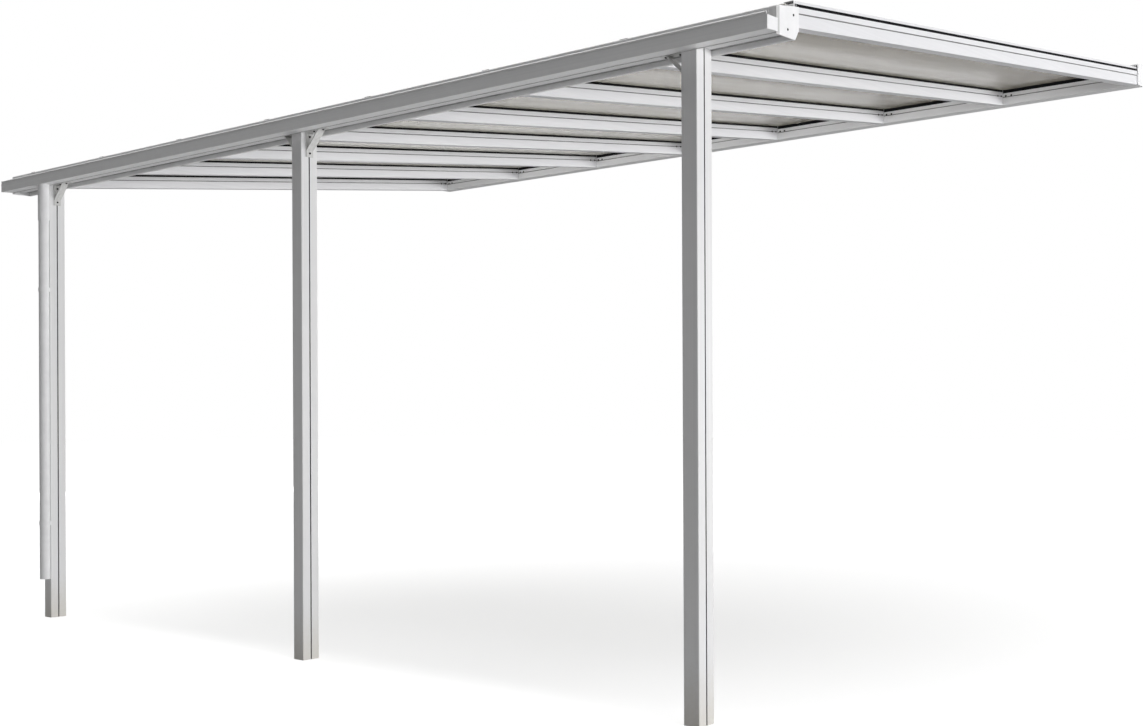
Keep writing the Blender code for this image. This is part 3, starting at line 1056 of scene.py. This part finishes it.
@dataclass(frozen=True)
class WallRail:
    """The rail on the wall with its end covers, and the strips that lie across each bay.

    Attributes:
        groove: The line along the rail, darkened with painted shade and dirt, counted from its foot.
        strip_heights: How tall a bay's strips are, at the rail and at the beam.
        strip_depth: How far a strip reaches up the roof.
        strip_inset: How far it lies behind the rail's front, or before the beam's rear.
    """

    # Painted shade with dirt in the rail's groove.
    groove: Seam = Seam(UPWARD, 0.0445, 0.00256)
    finish: SatinAluminium = SatinAluminium()
    trim: MouldedPlastic = MouldedPlastic()
    strip_heights: Range = (0.0194, 0.0124)
    strip_depth: float = 0.0080
    strip_inset: float = 0.003
    strip_edge: float = 0.0007

    def build(self, rubber: Material, roof: Roof) -> None:
        """Dress the rail and its covers, and add a strip in each bay, at the rail and at the beam.

        Args:
            rubber: The strips' finish.
            roof: The roof that the strips lie under.
        """
        groove = self.groove.past(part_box("wall_rail")[0].z)
        dress(self.finish.material("satin_aluminium_rail", Run.ACROSS, [[groove]]), "wall_rail")
        dress(self.trim.material("white_trim_rail"), *("wall_rail_end_cap_" + side for side, _ in SIDES))
        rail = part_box("wall_rail")[0].y
        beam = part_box("front_beam")[1].y
        starts = (rail + self.strip_inset, beam - self.strip_inset - self.strip_depth)
        for number in range(1, roof.rafters):
            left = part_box(f"rafter_{number}")[1].x
            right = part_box(f"rafter_{number + 1}")[0].x
            for place, start, tall in zip(("rail", "beam"), starts, self.strip_heights):
                end, foot = start + self.strip_depth, -SEAT - tall
                section = [Vector((left, y, roof.plane.at(y) + rise)) for y, rise in
                           ((start, foot), (end, foot), (end, -SEAT), (start, -SEAT))]
                Body().bar(section, Vector((right - left, 0.0, 0.0))).soften(self.strip_edge).finish(
                    f"sealing_strip_{place}_{number}", rubber)


@dataclass(frozen=True)
class KneeBrackets:
    """The four angles between the posts and the beam.

    Attributes:
        names: Each bracket's name, and 1 if it reaches to the right of its post or -1 if to the left.
        upright_screws: How far under the bracket's top the screws of its upright leg lie.
        level_screws: How far from the post the screws of its level leg lie.
    """

    names: tuple[tuple[str, float], ...] = (
        ("knee_bracket_left_post", 1.0), ("knee_bracket_middle_post_left", -1.0),
        ("knee_bracket_middle_post_right", 1.0), ("knee_bracket_right_post", -1.0))
    thickness: float = 0.005
    upright_screws: Range = (0.029, 0.107)
    level_screws: Range = (0.037, 0.106)
    finish: SatinAluminium = SatinAluminium(light=(0.70, 0.70, 0.69), dark=(0.54, 0.54, 0.53))
    screw: Screw = Screw(radius=0.0052, height=0.0055)

    def build(self, steel: Material) -> None:
        """Dress the brackets and add their screws.

        Args:
            steel: The screws' finish.
        """
        material = self.finish.material("satin_aluminium_brackets", Run.UPRIGHT)
        for name, sign in self.names:
            dress(material, name)
            low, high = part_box(name)
            post_face = low.x if sign > 0 else high.x
            middle = (low.y + high.y) / 2
            for count, drop in enumerate(self.upright_screws, 1):
                seat = Vector((post_face + sign * self.thickness, middle, high.z - drop))
                self.screw.on(f"{name}_screw_{count}", seat, sign * Vector(RIGHTWARD), steel)
            for count, reach in enumerate(self.level_screws, 1 + len(self.upright_screws)):
                seat = Vector((post_face + sign * reach, middle, high.z - self.thickness))
                self.screw.on(f"{name}_screw_{count}", seat, -Vector(UPWARD), steel)


@dataclass(frozen=True)
class RainPipe:
    """The downpipe with its outlet piece and clips."""

    names: tuple[str, ...] = ("gutter_outlet", "downpipe", "pipe_clip_lower", "pipe_clip_upper")
    trim: MouldedPlastic = MouldedPlastic()

    def build(self) -> None:
        """Dress the pipe."""
        dress(self.trim.material("white_trim_pipe"), *self.names)


@dataclass(frozen=True)
class SoftBox:
    """An even rectangular lamp, which the camera doesn't see and nothing mirrors. Its spread is in degrees."""

    name: str
    place: Triple
    target: Triple
    width: float
    height: float
    power: float
    spread: float = 180.0

    def build(self) -> None:
        """Hang the lamp."""
        data = bpy.data.lights.new(self.name, "AREA")
        data.shape = "RECTANGLE"
        data.size, data.size_y, data.energy = self.width, self.height, self.power
        data.spread = math.radians(self.spread)
        lamp = placed(self.name, data)
        lamp.location = self.place
        aim = Vector(self.target) - Vector(self.place)
        lamp.rotation_euler = aim.to_track_quat("-Z", "Y").to_euler()
        lamp.visible_camera = lamp.visible_glossy = False


@dataclass(frozen=True)
class Studio:
    """Pale floor, white background, soft lamps and the camera.

    Attributes:
        horizon: The row of the photograph that the horizon lies on.
        room_mirrored: How much of the white background the object mirrors.
        floor_mirrored: How much of the floor's white the object mirrors.
        floor_bounce: The floor's shade for the light that it throws back on the object.
        floor_glow: What is added to the floor's shade near the object and far from it.
        floor_fade: How far from the middle the glow begins to rise, and is at its full.
    """

    eye: Triple = (5.461, -4.357, 1.149)
    turn: float = 40.914
    roll: float = 0.241
    lens: float = 45.19
    sensor: float = 36.0
    view_reach: float = 200.0
    horizon: float = 417.34
    ambient: float = 0.07
    room_mirrored: float = 0.50
    floor_mirrored: float = 0.10
    floor_shade: float = 0.80
    floor_bounce: float = 0.57
    floor_glow: Range = (0.66, 0.965)
    floor_fade: Range = (5.0, 16.0)
    floor_half: float = 60.0
    floor_drop: float = 0.0005
    lamps: tuple[SoftBox, ...] = (
        SoftBox("key_right", (21.0, 3.0, 1.0), (0.0, 1.5, 1.5), 18.0, 1.8, 2560.0),
        SoftBox("overhead", (0.0, 1.5, 12.0), (0.0, 1.5, 0.0), 16.0, 14.0, 680.0),
        SoftBox("sky_strip", (0.0, -0.3, 8.0), (0.0, 0.0, 2.6), 14.0, 1.2, 330.0),
        SoftBox("fill_left", (-15.0, 9.0, 2.5), (0.0, 2.0, 1.5), 10.0, 4.0, 300.0),
        SoftBox("fill_back", (9.0, 13.0, 1.6), (0.0, 2.0, 1.6), 11.0, 3.0, 800.0),
        SoftBox("fill_under", (0.0, 0.3, 2.35), (0.0, 3.52, 2.86), 5.2, 0.25, 10.0, 50.0),
        SoftBox("fill_gutter", (0.0, 1.2, 0.2), (0.0, -0.06, 2.45), 5.4, 0.15, 2.5, 30.0),
    )

    def build(self) -> None:
        """Set up the studio."""
        self._world()
        self._floor()
        for lamp in self.lamps:
            lamp.build()
        self._camera()
        bpy.context.scene.view_settings.view_transform = "Standard"

    def _seen(self, write: NodeWriter, mirrored: float) -> NodeSocket:
        """Tell what the camera sees from what only lights the object.

        Args:
            write: The writer of the tree.
            mirrored: The share for what it sees in gloss.

        Returns:
            The socket of the share, which is 1 for what it sees straight or through glass.
        """
        path = write.add("ShaderNodeLightPath")
        gloss = write.times(path.outputs["Is Glossy Ray"], mirrored)
        seen = write.maths("MAXIMUM", path.outputs["Is Camera Ray"], gloss)
        return write.maths("MAXIMUM", seen, path.outputs["Is Transmission Ray"])

    def _world(self) -> None:
        """Light the scene faintly from all round, and show white behind it."""
        world = bpy.data.worlds.new("white_room")
        bpy.context.scene.world = world
        write = NodeWriter.of(world)
        light = write.shader("ShaderNodeBackground", WHITE)
        light.inputs["Strength"].default_value = self.ambient
        white = write.shader("ShaderNodeBackground", WHITE)
        shown = write.mixed(self._seen(write, self.room_mirrored), light, white)
        write.join(shown, write.add("ShaderNodeOutputWorld").inputs["Surface"])

    def _floor(self) -> None:
        """Lay the floor, which the camera sees as white with the object's shadow on it."""
        mesh = bmesh.new()
        bmesh.ops.create_grid(mesh, x_segments=1, y_segments=1, size=self.floor_half)
        data = bpy.data.meshes.new("floor")
        mesh.to_mesh(data)
        mesh.free()
        floor = placed("floor", data)
        floor.location.z = -self.floor_drop
        data.materials.append(self._floor_material())

    def _floor_material(self) -> Material:
        """Make the floor's finish, whose glow hides its far edge in the white behind it.

        Returns:
            The material.
        """
        material = bpy.data.materials.new("pale_floor")
        write = NodeWriter.of(material)
        shade = write.shader("ShaderNodeBsdfDiffuse", (self.floor_shade,) * 3)
        bounce = write.shader("ShaderNodeBsdfDiffuse", (self.floor_bounce,) * 3)
        glow = write.shader("ShaderNodeEmission", WHITE)
        reach = write.add("ShaderNodeVectorMath", operation="LENGTH")
        write.join(write.add("ShaderNodeTexCoord").outputs["Object"], reach.inputs[0])
        write.join(write.spread(reach.outputs["Value"], self.floor_fade, self.floor_glow),
                   glow.inputs["Strength"])
        both = write.add("ShaderNodeAddShader")
        write.join(shade.outputs[0], both.inputs[0])
        write.join(glow.outputs[0], both.inputs[1])
        shown = write.mixed(self._seen(write, self.floor_mirrored), bounce, both)
        write.join(shown, write.add("ShaderNodeOutputMaterial").inputs["Surface"])
        return material

    def _camera(self) -> None:
        """Place the camera at the photograph's viewpoint."""
        data = bpy.data.cameras.new("camera")
        data.sensor_fit = "HORIZONTAL"
        data.sensor_width = self.sensor
        data.lens = self.lens
        data.shift_y = (self.horizon - PHOTO_HEIGHT / 2) / PHOTO_WIDTH
        data.clip_end = self.view_reach
        camera = placed("camera", data)
        camera.location = self.eye
        camera.rotation_euler = (math.radians(90.0), math.radians(self.roll), math.radians(self.turn))
        bpy.context.scene.camera = camera


def corners(box: Sequence[Vector]) -> list[list[float]]:
    """Return a box's two corners as plain lists."""
    return [[float(value) for value in corner] for corner in box]


def main() -> None:
    """Dress the part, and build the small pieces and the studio."""
    logging.basicConfig(level=logging.INFO, format="%(message)s")
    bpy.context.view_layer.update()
    rubber = RUBBER.material("black_sealing_rubber")
    steel = SCREW_STEEL.material("blackened_screws")
    Posts().build()
    FrontBeam().build(steel)
    roof = Roof()
    roof.build(rubber, steel)
    WallRail().build(rubber, roof)
    KneeBrackets().build(steel)
    RainPipe().build()
    Studio().build()


if __name__ == "__main__":
    main()
